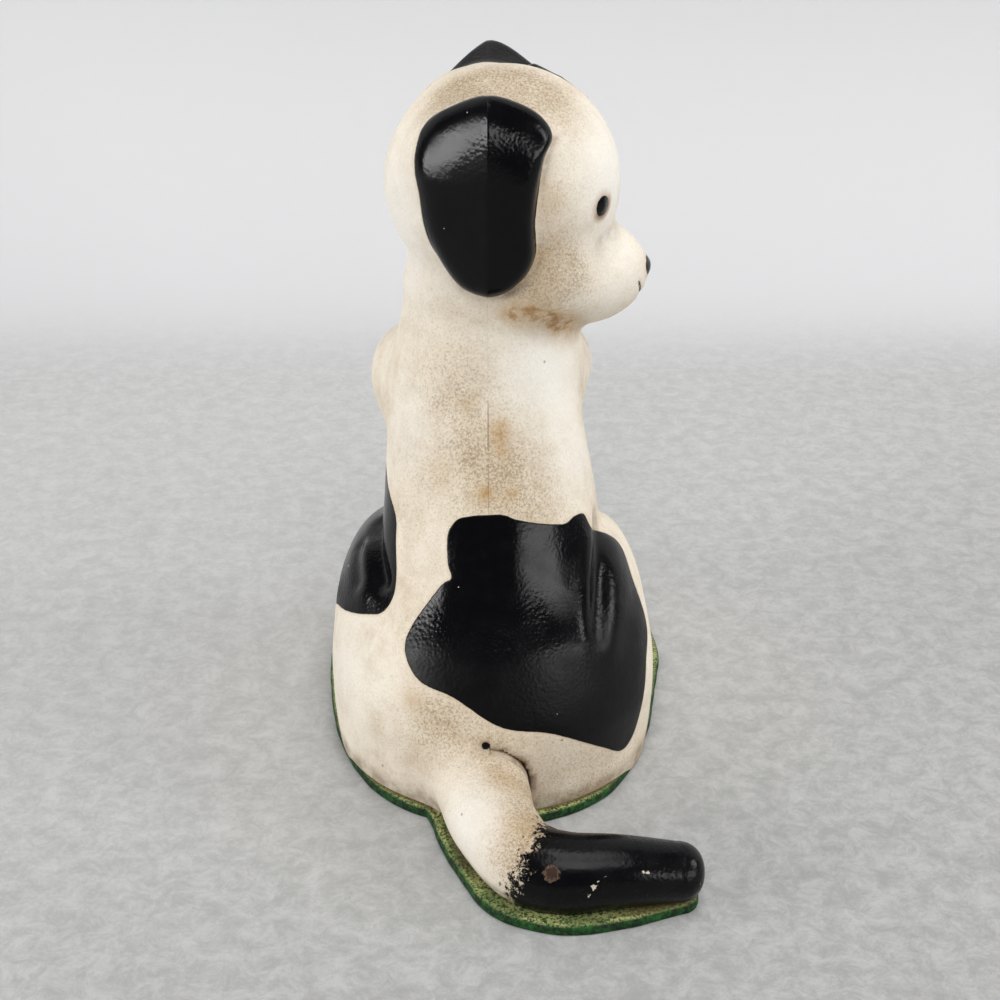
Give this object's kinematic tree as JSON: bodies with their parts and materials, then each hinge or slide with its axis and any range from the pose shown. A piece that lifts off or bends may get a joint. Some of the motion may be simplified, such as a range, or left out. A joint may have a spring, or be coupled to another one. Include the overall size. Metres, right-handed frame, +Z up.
{
  "type": "cast iron doorstop",
  "caption": "Heavy painted doorstop shaped as a sitting puppy with its head turned and its tail curled on a thin ground plate.",
  "frame": {"origin": "on the ground under the middle of the whole figure's bounding box, tail included", "axes": "+Y is the way the body faces, +X is the figure's right, where its face and its tail's tip point, +Z is up"},
  "size_m": [0.0966, 0.167, 0.1776],
  "materials": {
    "painted_left": "aged cream paint with glossy black patches and a green ground plate over cast iron",
    "painted_right": "aged cream paint with glossy black patches and a green ground plate over cast iron",
    "screw_steel": "dull aged steel"
  },
  "bodies": {
    "root": {"left_half": "painted_left", "right_half": "painted_right", "assembly_screw": "screw_steel"}
  },
  "joints": []
}
